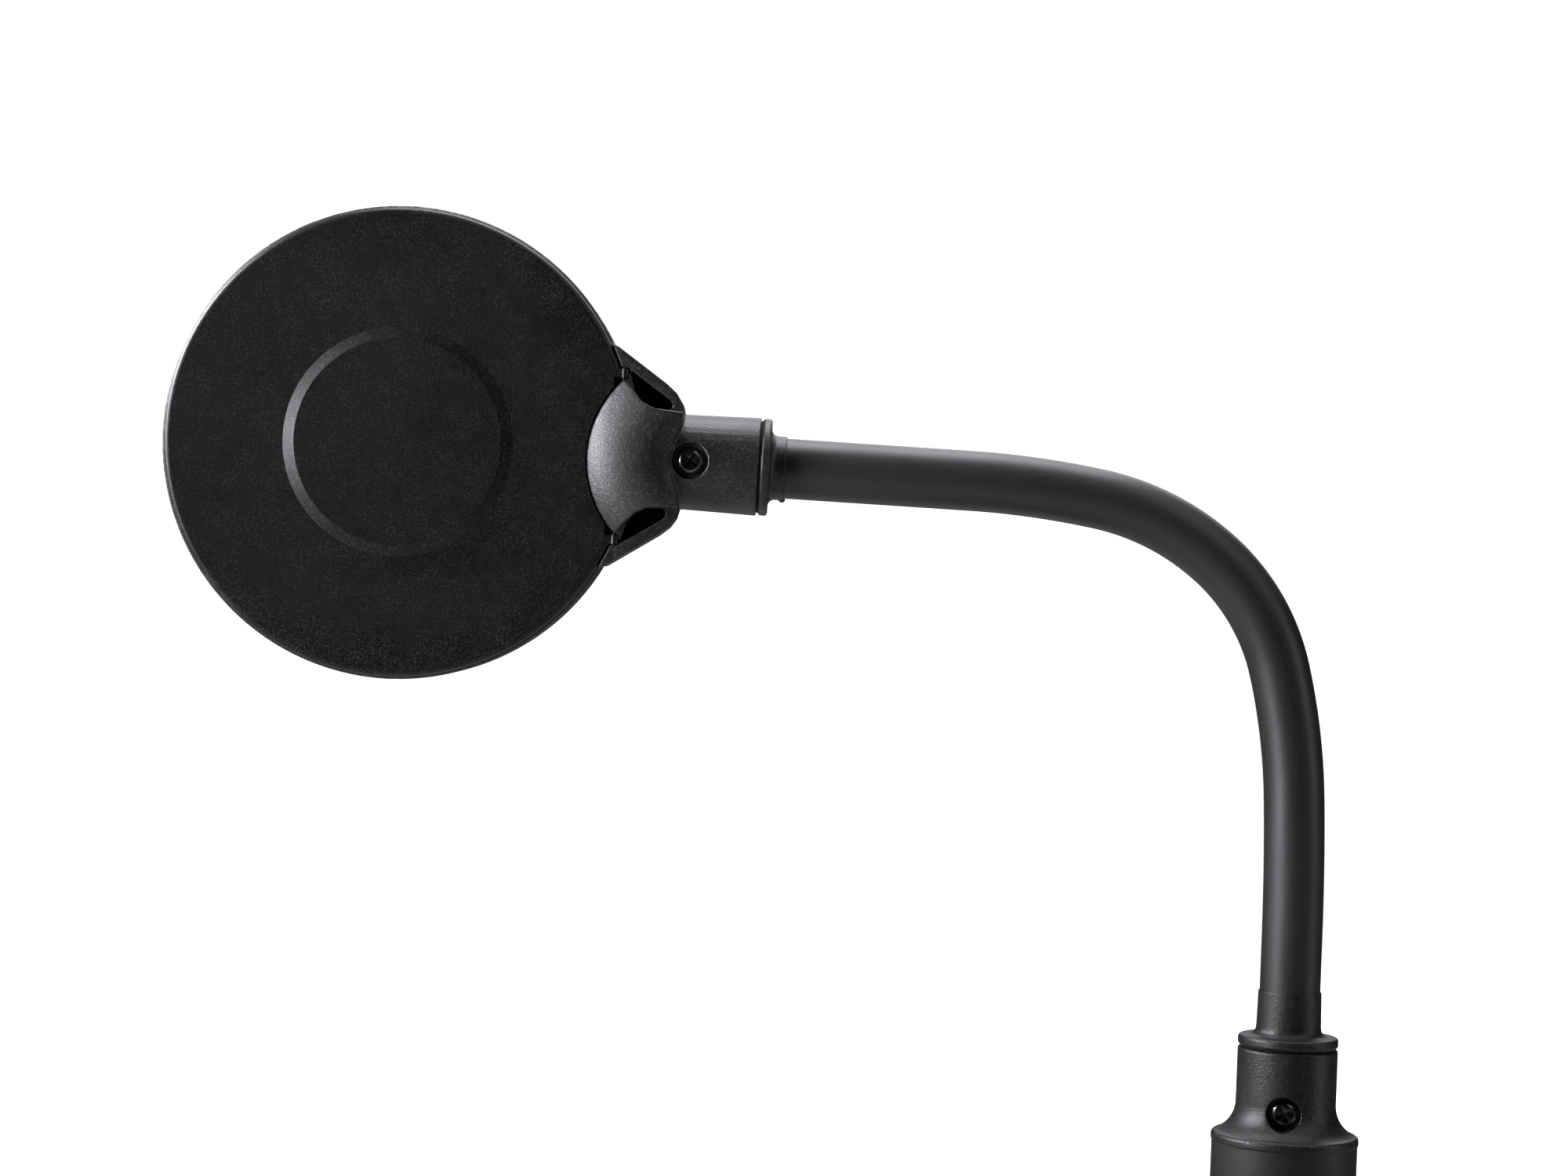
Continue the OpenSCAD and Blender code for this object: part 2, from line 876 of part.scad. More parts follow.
module head_bottom_shell() {
    low = -head_half_depth;
    color(plastic)
        in_head()
            difference() {
                union() {
                    ring(head_radius, housing_inside, low + 1.5, -0.15);
                    ring(head_radius - 1.5, light_window, low, diffuser_bottom);
                    translate([0, 0, low])
                        difference() {
                            cylinder(r1 = head_radius - 1.5, r2 = head_radius, h = 1.5);
                            translate([0, 0, -over])
                                cylinder(r = light_window, h = 1.5 + 2 * over);
                        }
                    around(head_post_circle, head_post_angles)
                        translate([0, 0, low + 0.5])
                            cylinder(r = head_post_radius, h = -0.15 - low - 0.5);
                }
                around(head_post_circle, head_post_angles)
                    translate([0, 0, low - over]) {
                        cylinder(r = head_screw_radius, h = head_half_depth + 2 * over);
                        cylinder(r = head_screw_head + 0.1, h = head_recess_depth + over);
                    }
                bar_x(cable_hole_radius, housing_inside - 4, head_radius + over);
            }
}

module head_screws() {
    color([0.18, 0.18, 0.19])
        in_head()
            around(head_post_circle, head_post_angles)
                translate([0, 0, head_recess_depth - head_half_depth])
                    mirror([0, 0, 1])
                        cross_screw(head_screw_radius, 14, head_screw_head,
                                    head_screw_head_height, 2.6);
}

module lens() {
    sag = lens_curvature - sqrt(pow(lens_curvature, 2) - pow(lens_radius, 2));
    ball = lens_edge / 2 + sag - lens_curvature;
    color([0.8, 0.9, 0.95, 0.35])
        in_head()
            translate([0, 0, lens_middle])
                rotate_extrude()
                    intersection() {
                        translate([0, ball])
                            circle(r = lens_curvature, $fn = 720);
                        translate([0, -ball])
                            circle(r = lens_curvature, $fn = 720);
                        translate([0, -10])
                            square([lens_radius, 20]);
                    }
}

module lens_gasket() {
    color(soft_black)
        in_head()
            ring(gasket_radius, lens_radius, seat_bottom, seat_top);
}

module lens_bezel() {
    low = -head_half_depth + 0.4;
    color(plastic)
        in_head() {
            ring(bezel_radius, lens_lip, low, seat_bottom);
            ring(gasket_radius + seat_wall, bezel_radius - 0.5, low, diffuser_bottom);
            ring(gasket_radius + seat_wall - 0.6, bezel_radius - 0.5, seat_bottom - 1.4, seat_bottom);
        }
}

module led_board() {
    color([0.85, 0.86, 0.84])
        in_head()
            ring(board_outer, board_inner, board_top - board_thickness, board_top);
}

module led_chips() {
    color([0.95, 0.85, 0.4])
        in_head()
            around(chip_circle, chip_angles)
                translate([-chip_size[0] / 2, -chip_size[1] / 2,
                           board_top - board_thickness - chip_size[2]])
                    cube(chip_size);
}

module diffuser_ring() {
    color([0.92, 0.93, 0.94])
        in_head()
            ring(diffuser_outer, bezel_radius, diffuser_bottom, diffuser_top);
}

module hinge_pins() {
    color(steel)
        in_head()
            for (side = [0, 1])
                mirror([0, side, 0])
                    translate([hinge_x, 0, hinge_z])
                        bar_y(hinge_pin_radius, hinge_pin_ends[0], hinge_pin_ends[1]);
}

// Half section of the cover, with its rounded edge and its raised plateau
module cover_section() {
    top = head_half_depth;
    translate([0, cover_bottom])
        square([cover_radius, cover_thickness - cover_edge]);
    translate([0, cover_bottom])
        square([cover_radius - cover_edge, cover_thickness]);
    intersection() {
        translate([cover_radius - cover_edge, top - cover_edge])
            circle(r = cover_edge);
        translate([0, cover_bottom])
            square([cover_radius, cover_thickness]);
    }
    polygon([
        [0, top - 0.5],
        [plateau_radius + plateau_slope, top - 0.5],
        [plateau_radius + plateau_slope, top],
        [plateau_radius, top + plateau_height],
        [0, top + plateau_height]
    ]);
}

module lens_cover() {
    color(plastic)
        in_head()
            difference() {
                union() {
                    difference() {
                        rotate_extrude() cover_section();
                        translate([dome_center, 0, 0])
                            cylinder(r = dome_radius + cover_gap, h = 20);
                        for (side = [0, 1])
                            mirror([0, side, 0])
                                translate([hinge_x, 0, hinge_z]) {
                                    bar_y(hinge_relief, corner_ends[0], hinge_pin_ends[1] + 0.6);
                                    bar_y(corner_relief, corner_ends[0], corner_ends[1]);
                                }
                    }
                    for (side = [0, 1])
                        mirror([0, side, 0])
                            translate([hinge_x, 0, hinge_z]) {
                                bar_y(knuckle_radius, knuckle_ends[0], knuckle_ends[1]);
                                translate([-4, knuckle_ends[0], cover_bottom - hinge_z])
                                    cube([4, knuckle_ends[1] - knuckle_ends[0],
                                          hinge_z + knuckle_top - cover_bottom]);
                            }
                }
                for (side = [0, 1])
                    mirror([0, side, 0])
                        translate([hinge_x, 0, hinge_z])
                            bar_y(hinge_pin_radius + 0.05, knuckle_ends[0] - over,
                                  knuckle_ends[1] + over);
            }
}

base_pad();
base_bottom_plate();
base_ballast();
base_shell();
base_screws();
driver_board();
usb_inlet();
switch_module();
button_cap();
column_tube();
column_foot();
column_screws();
lower_collar();
lower_collar_screw();
neck_foot_fitting();
neck_sleeve(0);  // neck_sleeve_1
neck_sleeve(1);  // neck_sleeve_2
neck_sleeve(2);  // neck_sleeve_3
neck_sleeve(3);  // neck_sleeve_4
neck_sleeve(4);  // neck_sleeve_5
neck_sleeve(5);  // neck_sleeve_6
neck_sleeve(6);  // neck_sleeve_7
neck_spine(0);  // neck_spine_1
neck_spine(1);  // neck_spine_2
neck_spine(2);  // neck_spine_3
neck_spine(3);  // neck_spine_4
neck_spine(4);  // neck_spine_5
neck_spine(5);  // neck_spine_6
neck_spine(6);  // neck_spine_7
neck_cable(0);  // neck_cable_1
neck_cable(1);  // neck_cable_2
neck_cable(2);  // neck_cable_3
neck_cable(3);  // neck_cable_4
neck_cable(4);  // neck_cable_5
neck_cable(5);  // neck_cable_6
neck_cable(6);  // neck_cable_7
neck_head_fitting();
head_collar_screw();
head_top_shell();
head_bottom_shell();
head_screws();
lens();
lens_gasket();
lens_bezel();
led_board();
led_chips();
diffuser_ring();
hinge_pins();
lens_cover();
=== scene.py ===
"""A desk magnifying lamp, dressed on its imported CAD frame: moulded shells with softened edges, one
smooth sleeve along the gooseneck, and a procedural material for every piece."""

import json
import math
from collections import namedtuple

import bmesh
import bpy
from mathutils import Matrix, Vector


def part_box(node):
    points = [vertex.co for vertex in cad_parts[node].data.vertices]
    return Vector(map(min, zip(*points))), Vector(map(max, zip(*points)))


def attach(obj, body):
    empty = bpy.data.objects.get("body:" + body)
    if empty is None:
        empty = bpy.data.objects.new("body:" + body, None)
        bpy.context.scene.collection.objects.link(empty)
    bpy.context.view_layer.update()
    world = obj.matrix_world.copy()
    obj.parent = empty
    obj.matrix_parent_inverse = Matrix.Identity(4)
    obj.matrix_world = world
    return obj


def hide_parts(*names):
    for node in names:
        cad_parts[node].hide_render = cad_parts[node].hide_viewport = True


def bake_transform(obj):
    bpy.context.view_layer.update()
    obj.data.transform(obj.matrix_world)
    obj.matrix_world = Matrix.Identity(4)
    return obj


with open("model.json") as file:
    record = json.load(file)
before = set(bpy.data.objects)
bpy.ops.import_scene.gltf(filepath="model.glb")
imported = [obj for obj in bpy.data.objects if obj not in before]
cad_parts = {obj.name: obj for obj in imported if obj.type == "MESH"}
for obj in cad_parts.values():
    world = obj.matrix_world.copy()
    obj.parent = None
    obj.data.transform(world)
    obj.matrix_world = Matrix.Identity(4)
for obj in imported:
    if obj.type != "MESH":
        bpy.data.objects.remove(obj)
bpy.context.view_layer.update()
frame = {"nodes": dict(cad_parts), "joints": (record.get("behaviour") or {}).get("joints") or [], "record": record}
MM = 0.001

# ---- Places read from the frame ------------------------------------------------------

NECK_JOINTS = [
    "neck_bend_1", "neck_sway_1", "neck_bend_2", "neck_sway_2", "neck_bend_3", "neck_sway_3",
]
joints = {joint["name"]: joint for joint in frame["joints"]}


def middle(node):
    low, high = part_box(node)
    return (low + high) / 2


# The head's own axes: along from the lens to the gooseneck, up across it, out through the cover
head_up = Vector(joints["cover_hinge"]["axis"]).normalized()
head_out = Vector((0, -1, 0))
head_along = head_up.cross(head_out)
lens_center = middle("lens")
column_center = middle("column_tube")
column_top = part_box("column_tube")[1].z


# ---- Meshes ------------------------------------------------------------------------

def new_object(name, mesh):
    piece = bpy.data.objects.new(name, mesh)
    bpy.context.scene.collection.objects.link(piece)
    return piece


def from_bmesh(name, bm):
    mesh = bpy.data.meshes.new(name)
    bm.normal_update()
    bm.to_mesh(mesh)
    bm.free()
    return new_object(name, mesh)


def apply_modifiers(piece):
    """Bakes a piece's modifiers into its mesh."""
    graph = bpy.context.evaluated_depsgraph_get()
    mesh = bpy.data.meshes.new_from_object(piece.evaluated_get(graph))
    old = piece.data
    piece.modifiers.clear()
    piece.data = mesh
    bpy.data.meshes.remove(old)


def shade(piece, crease=35):
    """Smooth shading, but for edges where two faces meet more sharply than the crease, in degrees."""
    piece.data.shade_smooth()
    piece.data.set_sharp_from_angle(angle=math.radians(crease))


# ---- Materials ----------------------------------------------------------------------

class Nodes:
    """A small builder for one material's node tree. Scales are in features per metre."""

    def __init__(self, name):
        self.material = bpy.data.materials.new(name)
        self.material.use_nodes = True
        self.tree = self.material.node_tree
        self.shader = self.tree.nodes["Principled BSDF"]
        self.place = self.tree.nodes.new("ShaderNodeTexCoord").outputs["Object"]

    def link(self, source, target):
        self.tree.links.new(source, target)

    def noise(self, scale, detail=3.0, roughness=0.55, stretch=None):
        node = self.tree.nodes.new("ShaderNodeTexNoise")
        node.inputs["Scale"].default_value = scale
        node.inputs["Detail"].default_value = detail
        node.inputs["Roughness"].default_value = roughness
        place = self.place
        if stretch:
            mapping = self.tree.nodes.new("ShaderNodeMapping")
            mapping.inputs["Scale"].default_value = stretch
            self.link(place, mapping.inputs["Vector"])
            place = mapping.outputs["Vector"]
        self.link(place, node.inputs["Vector"])
        return node.outputs["Fac"]

    def cells(self, scale):
        node = self.tree.nodes.new("ShaderNodeTexVoronoi")
        node.inputs["Scale"].default_value = scale
        self.link(self.place, node.inputs["Vector"])
        return node.outputs["Distance"]

    def span(self, value, low, high, to_low, to_high):
        node = self.tree.nodes.new("ShaderNodeMapRange")
        node.inputs["From Min"].default_value = low
        node.inputs["From Max"].default_value = high
        node.inputs["To Min"].default_value = to_low
        node.inputs["To Max"].default_value = to_high
        self.link(value, node.inputs["Value"])
        return node.outputs["Result"]

    def spread(self, noise, to_low=0, to_high=1):
        """The range where most of a noise lies, stretched over another."""
        return self.span(noise, 0.3, 0.7, to_low, to_high)

    def multiply(self, first, second):
        node = self.tree.nodes.new("ShaderNodeMath")
        node.operation = "MULTIPLY"
        self.link(first, node.inputs[0])
        self.link(second, node.inputs[1])
        return node.outputs["Value"]

    def mix(self, factor, first, second):
        node = self.tree.nodes.new("ShaderNodeMix")
        node.data_type = "RGBA"
        self.link(factor, node.inputs["Factor"])
        for socket, colour in (("A", first), ("B", second)):
            target = [s for s in node.inputs if s.name == socket and s.type == "RGBA"][0]
            if isinstance(colour, tuple):
                target.default_value = (*colour, 1.0)
            else:
                self.link(colour, target)
        return [s for s in node.outputs if s.type == "RGBA"][0]

    def bump(self, height, distance, strength=1.0):
        node = self.tree.nodes.new("ShaderNodeBump")
        node.inputs["Distance"].default_value = distance
        node.inputs["Strength"].default_value = strength
        self.link(height, node.inputs["Height"])
        return node.outputs["Normal"]

    def set(self, **values):
        """Sets the shader's sockets, each to a number, a colour or another node's output."""
        for name, value in values.items():
            socket = self.shader.inputs[name.replace("_", " ")]
            if hasattr(value, "is_output"):
                self.link(value, socket)
            elif isinstance(value, tuple):
                socket.default_value = (*value, 1.0)
            else:
                socket.default_value = value


DUST = (0.25, 0.25, 0.26)


def grained(name, dark, light, grain=1500, depth=0.05 * MM, rough=(0.42, 0.6)):
    """Moulded or coated black with a fine spark-eroded grain and faint handling marks."""
    n = Nodes(name)
    fine = n.noise(grain, 2.0, 0.6)
    marks = n.noise(45, 4.0)
    n.set(
        Base_Color=n.mix(n.span(fine, 0.35, 0.7, 0, 1), dark, light),
        Roughness=n.spread(marks, *rough),
        Normal=n.bump(fine, depth),
    )
    return n.material


def speckled(name, dark, light, rough=(0.38, 0.44), specular=0.33, depth=0.025 * MM):
    """Spark-eroded black plastic; the glints of its grain's peaks are painted into the colour as fine pale specks,
    thicker in some patches.
    """
    n = Nodes(name)
    fine = n.noise(1650, 1.0, 0.5)
    tips = n.span(fine, 0.48, 0.7, 0, 1)
    patches = n.span(n.noise(160, 2.0), 0.35, 0.65, 0.4, 1.0)
    marks = n.noise(45, 4.0)
    n.set(
        # Painted highlight: the pale specks are glints of the grain, painted into the base colour
        Base_Color=n.mix(n.multiply(tips, patches), dark, light),
        Roughness=n.spread(marks, *rough),
        Specular_IOR_Level=specular,
        Normal=n.bump(fine, depth),
    )
    return n.material


def smooth_rubber(name, dark, light):
    """Satin silicone with a faint drawn texture and a little dust."""
    n = Nodes(name)
    fine = n.noise(900, 2.0)
    broad = n.noise(30, 3.0)
    motes = n.span(n.cells(420), 0.0, 0.07, 1, 0)
    n.set(
        Base_Color=n.mix(n.span(motes, 0.5, 1.0, 0, 0.25), n.mix(n.spread(broad), dark, light), DUST),
        Roughness=n.spread(broad, 0.42, 0.52),
        Normal=n.bump(fine, 0.01 * MM),
    )
    return n.material


def metal(name, dark, light, rough=(0.25, 0.45), grain=700, depth=0.01 * MM):
    """Bare or blackened metal with a fine grain and broad changes of tone."""
    n = Nodes(name)
    fine = n.noise(grain, 3.0, 0.6)
    broad = n.noise(60, 3.0)
    n.set(
        Base_Color=n.mix(n.spread(broad), dark, light),
        Metallic=1.0,
        Roughness=n.spread(fine, *rough),
        Normal=n.bump(fine, depth),
    )
    return n.material


def circuit(name, dark, light):
    """Solder mask over faint copper tracks."""
    n = Nodes(name)
    tracks = n.noise(260, 1.0, 0.4, (1.0, 0.25, 1.0))
    n.set(
        Base_Color=n.mix(n.span(tracks, 0.48, 0.52, 0, 1), dark, light),
        Roughness=0.32,
        Normal=n.bump(tracks, 0.03 * MM, 0.6),
    )
    return n.material


def frosted(name, colour):
    """Translucent plastic, blasted matt, with patches a little darker than the rest."""
    n = Nodes(name)
    fine = n.noise(1400, 2.0)
    darker = tuple(0.94 * channel for channel in colour)
    n.set(
        Base_Color=n.mix(n.spread(n.noise(50)), colour, darker),
        Roughness=n.spread(fine, 0.45, 0.6),
        Transmission_Weight=0.25,
        Normal=n.bump(fine, 0.02 * MM),
    )
    return n.material


def optical(name):
    """Polished lens glass with the faintest smears."""
    n = Nodes(name)
    smears = n.noise(25, 4.0)
    n.set(
        Base_Color=(0.96, 0.985, 0.975),
        Roughness=n.span(smears, 0.45, 0.8, 0.0, 0.035),
        Transmission_Weight=1.0,
        IOR=1.52,
    )
    return n.material


def phosphor(name):
    """The yellow gel of a light chip, under a clear coat."""
    n = Nodes(name)
    n.set(
        Base_Color=n.mix(n.spread(n.noise(900)), (0.9, 0.68, 0.16), (0.95, 0.8, 0.3)),
        Roughness=0.3,
        Coat_Weight=0.6,
    )
    return n.material


MATERIALS = {
    "shell_plastic": speckled("shell_plastic", (0.002, 0.0018, 0.0022), (0.034, 0.0325, 0.0355),
                              rough=(0.42, 0.5), specular=0.48, depth=0.09 * MM),
    # The cover's darker colours are painted shade for its face-on disc
    "cover_plastic": speckled("cover_plastic", (0.0003, 0.00025, 0.0004), (0.026, 0.0245, 0.0278)),
    "column_paint": grained("column_paint", (0.007, 0.0067, 0.0073), (0.015, 0.0145, 0.0155),
                            grain=1100),
    "neck_rubber": smooth_rubber("neck_rubber", (0.010, 0.0097, 0.0105), (0.014, 0.0135, 0.0147)),
    "pad_rubber": smooth_rubber("pad_rubber", (0.012, 0.012, 0.012), (0.02, 0.02, 0.02)),
    "button_plastic": grained("button_plastic", (0.012, 0.012, 0.0125), (0.02, 0.02, 0.021),
                              grain=2200, depth=0.015 * MM, rough=(0.28, 0.36)),
    "steel": metal("steel", (0.42, 0.42, 0.43), (0.6, 0.6, 0.61)),
    "black_screw": metal("black_screw", (0.06, 0.06, 0.062), (0.16, 0.16, 0.165),
                         rough=(0.16, 0.26)),
    "pin_black": metal("pin_black", (0.008, 0.008, 0.008), (0.016, 0.016, 0.016),
                       rough=(0.4, 0.55)),
    "spine_steel": metal("spine_steel", (0.35, 0.35, 0.36), (0.5, 0.5, 0.51)),
    "ballast_iron": metal("ballast_iron", (0.05, 0.05, 0.055), (0.12, 0.12, 0.125),
                          rough=(0.55, 0.8), grain=300, depth=0.2 * MM),
    "inlet_metal": metal("inlet_metal", (0.6, 0.6, 0.61), (0.75, 0.75, 0.76), rough=(0.12, 0.25)),
    "board_green": circuit("board_green", (0.012, 0.11, 0.045), (0.02, 0.17, 0.07)),
    "board_white": circuit("board_white", (0.74, 0.75, 0.72), (0.82, 0.83, 0.8)),
    "led": phosphor("led"),
    "switch_plastic": grained("switch_plastic", (0.02, 0.02, 0.022), (0.035, 0.035, 0.037)),
    "cable_jacket": smooth_rubber("cable_jacket", (0.012, 0.012, 0.012), (0.02, 0.02, 0.02)),
    "lens_glass": optical("lens_glass"),
    "diffuser": frosted("diffuser", (0.86, 0.87, 0.86)),
}

SLOT_OF = {row["node"]: row["material_slot"] for row in frame["record"]["subparts"]}

# The cover's plastic is a little smoother than the other mouldings' and darker; its darker colours are painted
# shade for the face-on disc, which reflects the dim front. The hinge pins are darker than the screws
LOOK_OF = dict(SLOT_OF, lens_cover="cover_plastic", hinge_pins="pin_black")


def dress(piece, slot_name):
    piece.data.materials.clear()
    piece.data.materials.append(MATERIALS[slot_name])


for node_name, cad in frame["nodes"].items():
    dress(cad, LOOK_OF[node_name])
    shade(cad)


# ---- Softened copies of the moulded shells -------------------------------------------

def head_frame():
    """The matrix from the head's own axes to the world's."""
    turn = Matrix((head_along, head_up, head_out)).transposed().to_4x4()
    return Matrix.Translation(lens_center) @ turn


SMOOTH_PASSES = 3


def moulded(node, body, axes, voxel):
    """Replaces a CAD shell by a copy whose edges are softened as a moulding's are.

    The copy is rebuilt from voxels that lie along the given axes, so its flat faces stay flat."""
    copy = new_object(node + "_skin", frame["nodes"][node].data.copy())
    copy.data.transform(axes.inverted())
    remesh = copy.modifiers.new("remesh", "REMESH")
    remesh.mode = "VOXEL"
    remesh.voxel_size = voxel
    smooth = copy.modifiers.new("smooth", "SMOOTH")
    smooth.factor = 0.5
    smooth.iterations = SMOOTH_PASSES
    apply_modifiers(copy)
    copy.data.transform(axes)
    copy.data.shade_smooth()
    dress(copy, SLOT_OF[node])
    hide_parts(node)
    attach(copy, body)


moulded("head_top_shell", "head", head_frame(), 0.36 * MM)
moulded("lower_collar", "base", Matrix.Identity(4), 0.3 * MM)
moulded("neck_foot_fitting", "base", Matrix.Identity(4), 0.22 * MM)
moulded("neck_head_fitting", "head", head_frame(), 0.22 * MM)

BEVEL_ANGLE = 32    # degrees: an edge this sharp or sharper is rounded
WELD_WITHIN = 0.002 * MM


def softened(node, width, segments=3):
    """Rounds a CAD node's edges with modifiers, which leave its mesh alone."""
    piece = frame["nodes"][node]
    weld = piece.modifiers.new("weld", "WELD")
    weld.merge_threshold = WELD_WITHIN
    bevel = piece.modifiers.new("bevel", "BEVEL")
    bevel.width = width
    bevel.segments = segments
    bevel.limit_method = "ANGLE"
    bevel.angle_limit = math.radians(BEVEL_ANGLE)
    bevel.use_clamp_overlap = True
    bevel.harden_normals = True


for screw in ("lower_collar_screw", "head_collar_screw"):
    softened(screw, 0.07 * MM, segments=2)
softened("base_shell", 0.6 * MM)
softened("button_cap", 0.35 * MM)


# ---- The gooseneck's sleeve ----------------------------------------------------------

# A link is an arc in the lamp's plane: its first point, its heading there in radians from upright
# towards -X, by how much it has turned at its other end, and its length along the curve
Link = namedtuple("Link", "start angle bend length")

RING_STEP = 1.4 * MM
RING_SIDES = 48
FEWEST_STEPS = 4
SLEEVE_WALL = 2.0 * MM
STRAIGHT = 1e-6             # a bend too small to matter
RIM_CREASE = 50             # degrees: keeps the tube's end faces flat


def heading(angle):
    return Vector((-math.sin(angle), 0, math.cos(angle)))


def arc_per_chord(bend):
    """How much longer an arc is than its chord."""
    return 1.0 if abs(bend) < STRAIGHT else (bend / 2) / math.sin(bend / 2)


def bend_between(first, last, angle):
    """The bend of the arc that leaves the first point at an angle and reaches the last."""
    chord = last - first
    return 2 * (math.atan2(-chord.x, chord.z) - angle)


def neck_links():
    """The seven links, from the sleeve's lower end over the six joints to its upper end."""
    sleeve_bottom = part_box("neck_sleeve_1")[0].z
    points = [Vector((column_center.x, 0, sleeve_bottom))]
    points += [Vector(joints[name]["pos_m"]) for name in NECK_JOINTS]
    sleeve_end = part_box("neck_sleeve_7")[0].x
    reach = (points[-1].x - sleeve_end) / head_along.x
    points.append(points[-1] - head_along * reach)
    links = []
    angle = 0.0
    for first, last in zip(points, points[1:]):
        bend = bend_between(first, last, angle)
        links.append(Link(first, angle, bend, (last - first).length * arc_per_chord(bend)))
        angle += bend
    return links


def on_link(link, share):
    """The point and the angle at a share of a link's length."""
    turned = link.bend * share
    chord = link.length * share / arc_per_chord(turned)
    return link.start + heading(link.angle + turned / 2) * chord, link.angle + turned


def stations(link, low, high):
    """Points and angles from one share of a link to another, about a ring step apart."""
    count = max(FEWEST_STEPS, round(link.length * (high - low) / RING_STEP))
    return [on_link(link, low + (high - low) * i / count) for i in range(count + 1)]


def tube_mesh(name, places, outer, inner):
    """A closed thick-walled tube through places of (point, angle)."""
    bm = bmesh.new()
    side_axis = Vector((0, 1, 0))
    layers = {"outer": [], "inner": []}
    for point, angle in places:
        across = Vector((math.cos(angle), 0, math.sin(angle)))
        for layer, radius in (("outer", outer), ("inner", inner)):
            ring = []
            for k in range(RING_SIDES):
                turn = 2 * math.pi * k / RING_SIDES
                offset = across * math.cos(turn) + side_axis * math.sin(turn)
                ring.append(bm.verts.new(point + offset * radius))
            layers[layer].append(ring)
    for layer, rings in layers.items():
        for low, high in zip(rings, rings[1:]):
            for k in range(RING_SIDES):
                j = (k + 1) % RING_SIDES
                corners = [low[k], low[j], high[j], high[k]]
                bm.faces.new(corners if layer == "outer" else corners[::-1])
    for end in (0, -1):
        rim_out, rim_in = layers["outer"][end], layers["inner"][end]
        for k in range(RING_SIDES):
            j = (k + 1) % RING_SIDES
            corners = [rim_out[j], rim_out[k], rim_in[k], rim_in[j]]
            bm.faces.new(corners if end == 0 else corners[::-1])
    bmesh.ops.recalc_face_normals(bm, faces=bm.faces)
    return from_bmesh(name, bm)


def sleeve():
    """One piece over each joint. The pieces meet at the links' middles in matching rings, so the seams are closed."""
    links = neck_links()
    box_low, box_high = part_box("neck_sleeve_1")
    outer = (box_high.y - box_low.y) / 2
    last = len(NECK_JOINTS) - 1
    for k in range(len(NECK_JOINTS)):
        before, after = links[k], links[k + 1]
        places = stations(before, 0.0 if k == 0 else 0.5, 1.0)
        places += stations(after, 0.0, 1.0 if k == last else 0.5)[1:]
        piece = tube_mesh(f"sleeve_{k + 1}", places, outer, outer - SLEEVE_WALL)
        shade(piece, RIM_CREASE)
        dress(piece, "neck_rubber")
        nodes = [f"neck_sleeve_{k + 1}"]
        if k == last:
            nodes.append(f"neck_sleeve_{k + 2}")
        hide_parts(*nodes)
        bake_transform(piece)


sleeve()


# ---- Studio --------------------------------------------------------------------------

FLOOR_HALF = 8.0
BACKDROP_RADIUS = 7.5
BACKDROP_GLOW = 1.05
GLOW_NEAR, GLOW_FAR = 0.7, 1.04     # of the floor, at the two distances below
NEAR, FAR = 0.15, 0.5               # from the middle of the lamp's base
SOFTBOX_COLOUR = (1.0, 0.975, 1.03)

# The world's strength by the height that a ray comes from, as the Z of its direction
LEVEL_Z, BELOW_Z = -0.15, -0.6
LEVEL_STRENGTH, BELOW_STRENGTH = 0.008, 0.6

NECK_MIDDLE = Vector((-0.07, 0, 0.22))
HEAD_BOX_PLACE = Vector((-0.62, -0.27, 0.34))
RIM_BOX_PLACE = Vector((-0.5, -0.01, 0.41))
HEAD_BOX_AIM = 0.09         # from the lens's middle towards the gooseneck
RIM_BOX_AIM = 0.04          # from there towards the head's far edge

# The camera, from the column's axis, the lamp's plane and the column's top
CAMERA_LEFT = 146.2 * MM
CAMERA_BACK = 902 * MM
CAMERA_RISE = 149.8 * MM
CAMERA_ROLL = 2.2
CAMERA_LENS = 73.8
SENSOR_WIDTH = 36


def stage_material(name, brightness):
    """Matt white that also glows."""
    material = bpy.data.materials.new(name)
    material.use_nodes = True
    shader = material.node_tree.nodes["Principled BSDF"]
    shader.inputs["Base Color"].default_value = (0.9, 0.9, 0.9, 1)
    shader.inputs["Roughness"].default_value = 1.0
    shader.inputs["Specular IOR Level"].default_value = 0.0
    shader.inputs["Emission Color"].default_value = (1, 1, 1, 1)
    shader.inputs["Emission Strength"].default_value = brightness
    return material


def floor_material():
    """White that glows enough to match the backdrop, except close to the lamp's base."""
    material = stage_material("floor_white", GLOW_FAR)
    tree = material.node_tree
    place = tree.nodes.new("ShaderNodeTexCoord").outputs["Object"]
    distance = tree.nodes.new("ShaderNodeVectorMath")
    distance.operation = "LENGTH"
    tree.links.new(place, distance.inputs[0])
    glow = tree.nodes.new("ShaderNodeMapRange")
    glow.inputs["From Min"].default_value = NEAR
    glow.inputs["From Max"].default_value = FAR
    glow.inputs["To Min"].default_value = GLOW_NEAR
    glow.inputs["To Max"].default_value = GLOW_FAR
    tree.links.new(distance.outputs["Value"], glow.inputs["Value"])
    shader = tree.nodes["Principled BSDF"]
    tree.links.new(glow.outputs["Result"], shader.inputs["Emission Strength"])
    return material


def camera_only(piece):
    """The stage shows to the camera and through the lens, and neither lights nor shades the lamp."""
    piece.visible_diffuse = False
    piece.visible_glossy = False
    piece.visible_transmission = True
    piece.visible_shadow = False


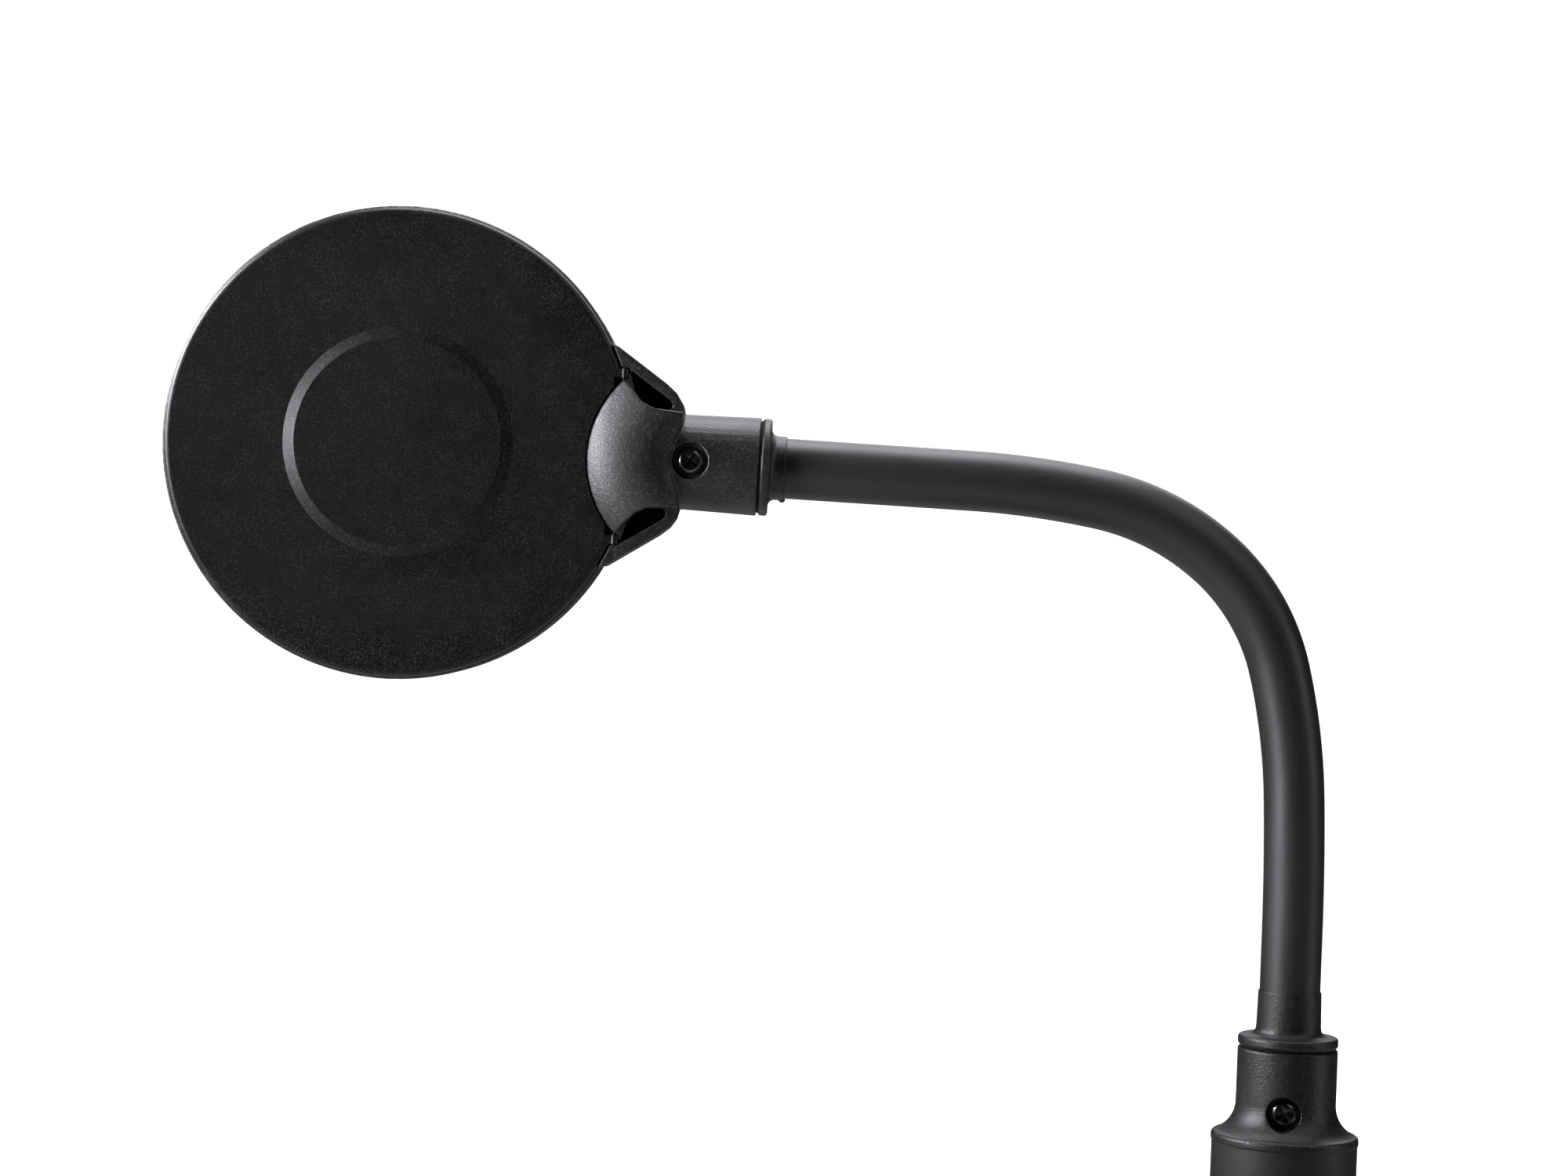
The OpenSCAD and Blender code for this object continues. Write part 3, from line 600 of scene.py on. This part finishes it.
def stage():
    """A white floor inside a white ball."""
    mesh = bpy.data.meshes.new("floor")
    corners = [(x * FLOOR_HALF, y * FLOOR_HALF, 0) for x, y in ((-1, -1), (1, -1), (1, 1), (-1, 1))]
    mesh.from_pydata(corners, [], [(0, 1, 2, 3)])
    floor = new_object("floor", mesh)
    floor.data.materials.append(floor_material())
    camera_only(floor)
    bm = bmesh.new()
    bmesh.ops.create_uvsphere(bm, u_segments=48, v_segments=24, radius=BACKDROP_RADIUS)
    bmesh.ops.reverse_faces(bm, faces=bm.faces)
    backdrop = from_bmesh("backdrop", bm)
    backdrop.data.materials.append(stage_material("backdrop_white", BACKDROP_GLOW))
    camera_only(backdrop)


def surroundings():
    """A dim room over a white table, which lights the lamp from below."""
    world = bpy.data.worlds.new("studio")
    bpy.context.scene.world = world
    world.use_nodes = True
    tree = world.node_tree
    background = tree.nodes["Background"]
    background.inputs["Color"].default_value = (1.0, 0.99, 1.0, 1)
    direction = tree.nodes.new("ShaderNodeTexCoord").outputs["Generated"]
    axes = tree.nodes.new("ShaderNodeSeparateXYZ")
    tree.links.new(direction, axes.inputs["Vector"])
    height = tree.nodes.new("ShaderNodeMapRange")
    height.inputs["From Min"].default_value = LEVEL_Z
    height.inputs["From Max"].default_value = BELOW_Z
    height.inputs["To Min"].default_value = LEVEL_STRENGTH
    height.inputs["To Max"].default_value = BELOW_STRENGTH
    tree.links.new(axes.outputs["Z"], height.inputs["Value"])
    tree.links.new(height.outputs["Result"], background.inputs["Strength"])


def softbox(name, place, target, size, power, spread=180):
    """An area light of a size in metres and a power in watts, unseen by the camera."""
    data = bpy.data.lights.new(name, "AREA")
    data.shape = "RECTANGLE"
    data.spread = math.radians(spread)
    data.size, data.size_y = size
    data.energy = power
    data.color = SOFTBOX_COLOUR
    lamp = bpy.data.objects.new(name, data)
    bpy.context.scene.collection.objects.link(lamp)
    lamp.location = place
    lamp.rotation_mode = "QUATERNION"
    lamp.rotation_quaternion = (target - place).to_track_quat("-Z", "Y")
    lamp.visible_camera = False


def around_neck(bearing, height, distance):
    """A place at a bearing from the camera's side, in degrees towards +X, about the neck's middle."""
    a, e = math.radians(bearing), math.radians(height)
    out = Vector((math.sin(a) * math.cos(e), -math.cos(a) * math.cos(e), math.sin(e)))
    return NECK_MIDDLE + out * distance


def lights():
    """Two small boxes graze the head, and the large ones around the neck light the whole lamp."""
    softbox("head_box", HEAD_BOX_PLACE, lens_center + head_along * HEAD_BOX_AIM,
            (0.16, 0.3), 0.24, spread=22)
    softbox("rim_box", RIM_BOX_PLACE, lens_center - head_along * RIM_BOX_AIM,
            (0.12, 0.2), 0.4, spread=34)
    softbox("left_box", around_neck(-58, 3, 1.4), NECK_MIDDLE, (0.7, 0.9), 3.8)
    softbox("top_box", around_neck(180, 75, 1.2), NECK_MIDDLE, (0.8, 0.8), 16)
    softbox("back_box", around_neck(165, 35, 1.3), NECK_MIDDLE, (0.9, 0.7), 5)
    softbox("right_top_box", around_neck(60, 45, 1.2), NECK_MIDDLE, (0.8, 0.8), 2.5)
    softbox("right_strip", around_neck(75, 3, 1.4), NECK_MIDDLE, (0.3, 0.9), 2.5)


def camera():
    """Level, square to the lamp's plane and rolled by a couple of degrees."""
    data = bpy.data.cameras.new("camera")
    data.sensor_width = SENSOR_WIDTH
    data.lens = CAMERA_LENS
    data.clip_start, data.clip_end = 0.05, 50
    piece = bpy.data.objects.new("camera", data)
    bpy.context.scene.collection.objects.link(piece)
    eye = Vector((column_center.x - CAMERA_LEFT, -CAMERA_BACK, column_top + CAMERA_RISE))
    upright = Matrix.Rotation(math.radians(90), 4, "X")
    roll = Matrix.Rotation(math.radians(CAMERA_ROLL), 4, "Z")
    piece.matrix_world = Matrix.Translation(eye) @ upright @ roll
    bpy.context.scene.camera = piece


stage()
surroundings()
lights()
camera()
bpy.context.scene.view_settings.view_transform = "Standard"
